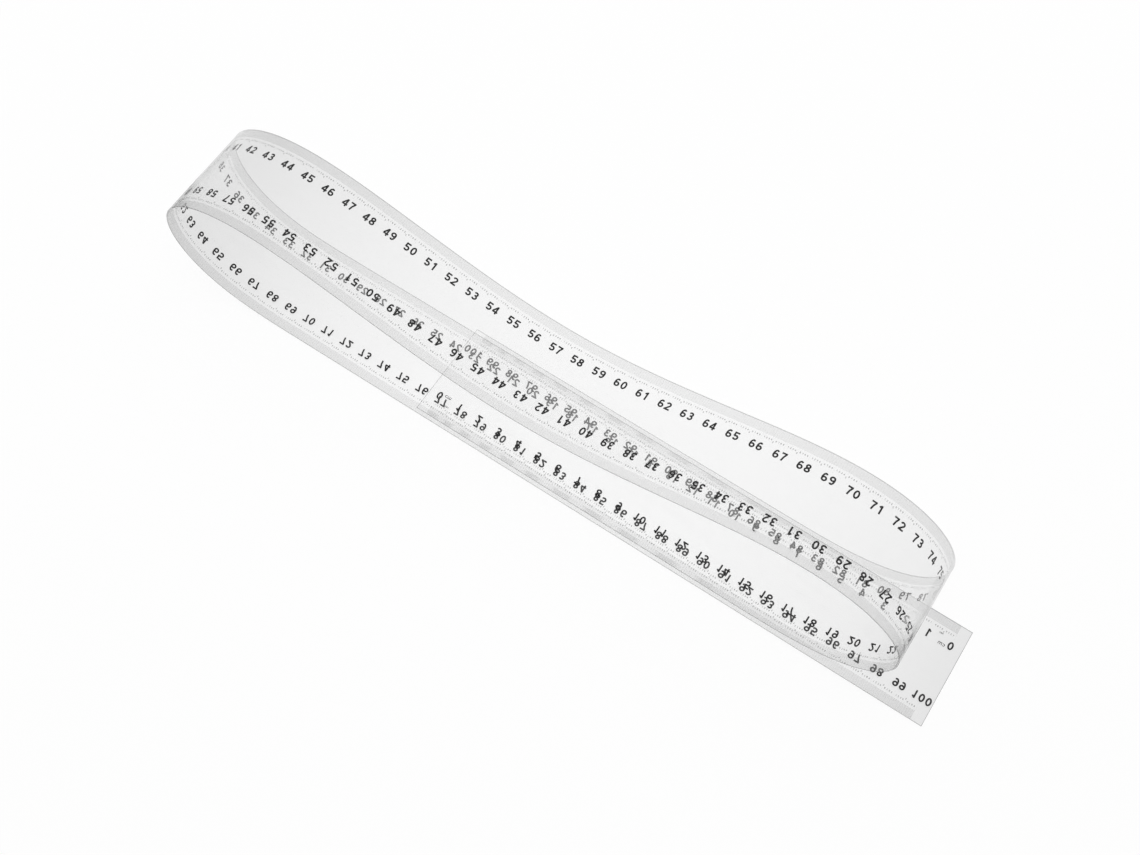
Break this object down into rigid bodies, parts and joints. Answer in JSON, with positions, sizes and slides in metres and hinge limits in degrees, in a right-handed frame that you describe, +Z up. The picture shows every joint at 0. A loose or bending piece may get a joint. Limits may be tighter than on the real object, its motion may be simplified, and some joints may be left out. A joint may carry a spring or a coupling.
{
  "type": "flexible ruler",
  "caption": "Clear flexible strip ruler with printed graduations on both long edges, loosely rolled into a flattened open loop.",
  "frame": {"origin": "on the supporting surface, under the middle of the roll's footprint", "axes": "+Z up, +X along the roll's length towards the free outer end, +Y along the roll's axis towards the far scale"},
  "size_m": [0.365, 0.047, 0.0763],
  "materials": {
    "clear_plastic": "clear, smooth and flexible, faintly grey, darker at its cut edges",
    "printed_ink": "thin black printing ink"
  },
  "bodies": {
    "root": {"clear_strip": "clear_plastic", "far_edge_scale": "printed_ink", "near_edge_scale": "printed_ink"}
  },
  "joints": []
}
